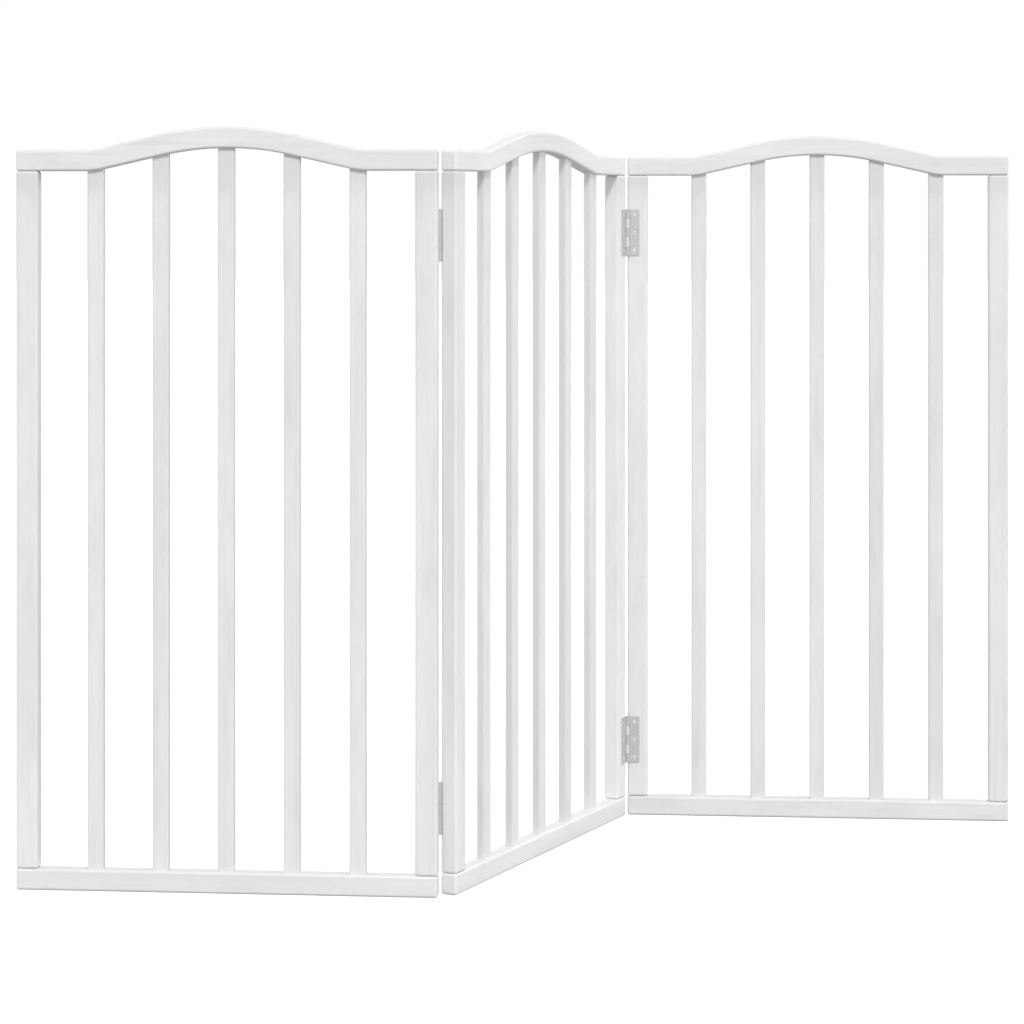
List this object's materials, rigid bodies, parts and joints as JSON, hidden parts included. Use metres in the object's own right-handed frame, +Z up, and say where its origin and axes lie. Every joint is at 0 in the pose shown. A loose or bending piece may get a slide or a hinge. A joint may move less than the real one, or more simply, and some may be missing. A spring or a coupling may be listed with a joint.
{
  "type": "folding pet gate",
  "caption": "Free-standing folding pet gate of hinged wooden panels with arched top rails and upright slats, standing in a zigzag.",
  "frame": {"origin": "on the floor, at the centre of the footprint, which is under the centre of the middle panel", "axes": "+X along the two parallel outer panels, from the left one to the right one; +Y to the back; +Z up"},
  "size_m": [1.2002, 0.503, 0.9],
  "materials": {
    "white_wood": "white wash over pine, satin, grain faintly showing",
    "bare_wood": "bare beech, fluted and glued, hidden in the joints",
    "hinge_steel": "zinc plated, dull",
    "pin_steel": "zinc plated, dull",
    "screw_steel": "bright zinc plate"
  },
  "bodies": {
    "middle_panel": {"middle_panel_top_rail": "white_wood", "middle_panel_bottom_rail": "white_wood", "middle_panel_left_stile": "white_wood", "middle_panel_right_stile": "white_wood", "middle_panel_slat_1": "white_wood", "middle_panel_slat_2": "white_wood", "middle_panel_slat_3": "white_wood", "middle_panel_slat_4": "white_wood", "middle_panel_slat_5": "white_wood", "middle_panel_dowels": "bare_wood", "middle_panel_hinge_screws": "screw_steel", "left_upper_hinge_middle_leaf": "hinge_steel", "left_lower_hinge_middle_leaf": "hinge_steel", "right_upper_hinge_middle_leaf": "hinge_steel", "right_lower_hinge_middle_leaf": "hinge_steel"},
    "left_panel": {"left_panel_top_rail": "white_wood", "left_panel_bottom_rail": "white_wood", "left_panel_left_stile": "white_wood", "left_panel_right_stile": "white_wood", "left_panel_slat_1": "white_wood", "left_panel_slat_2": "white_wood", "left_panel_slat_3": "white_wood", "left_panel_slat_4": "white_wood", "left_panel_slat_5": "white_wood", "left_panel_dowels": "bare_wood", "left_panel_hinge_screws": "screw_steel", "left_upper_hinge_outer_leaf": "hinge_steel", "left_upper_hinge_pin": "pin_steel", "left_lower_hinge_outer_leaf": "hinge_steel", "left_lower_hinge_pin": "pin_steel"},
    "right_panel": {"right_panel_top_rail": "white_wood", "right_panel_bottom_rail": "white_wood", "right_panel_left_stile": "white_wood", "right_panel_right_stile": "white_wood", "right_panel_slat_1": "white_wood", "right_panel_slat_2": "white_wood", "right_panel_slat_3": "white_wood", "right_panel_slat_4": "white_wood", "right_panel_slat_5": "white_wood", "right_panel_dowels": "bare_wood", "right_panel_hinge_screws": "screw_steel", "right_upper_hinge_outer_leaf": "hinge_steel", "right_upper_hinge_pin": "pin_steel", "right_lower_hinge_outer_leaf": "hinge_steel", "right_lower_hinge_pin": "pin_steel"}
  },
  "joints": [
    {"name": "left_fold", "type": "hinge", "parent": "middle_panel", "child": "left_panel", "pos_m": [-0.09967, -0.23, 0], "axis": [0, 0, -1], "range_deg": [-69.2, 110.8]},
    {"name": "right_fold", "type": "hinge", "parent": "middle_panel", "child": "right_panel", "pos_m": [0.09967, 0.23, 0], "axis": [0, 0, -1], "range_deg": [-69.2, 110.8]}
  ]
}
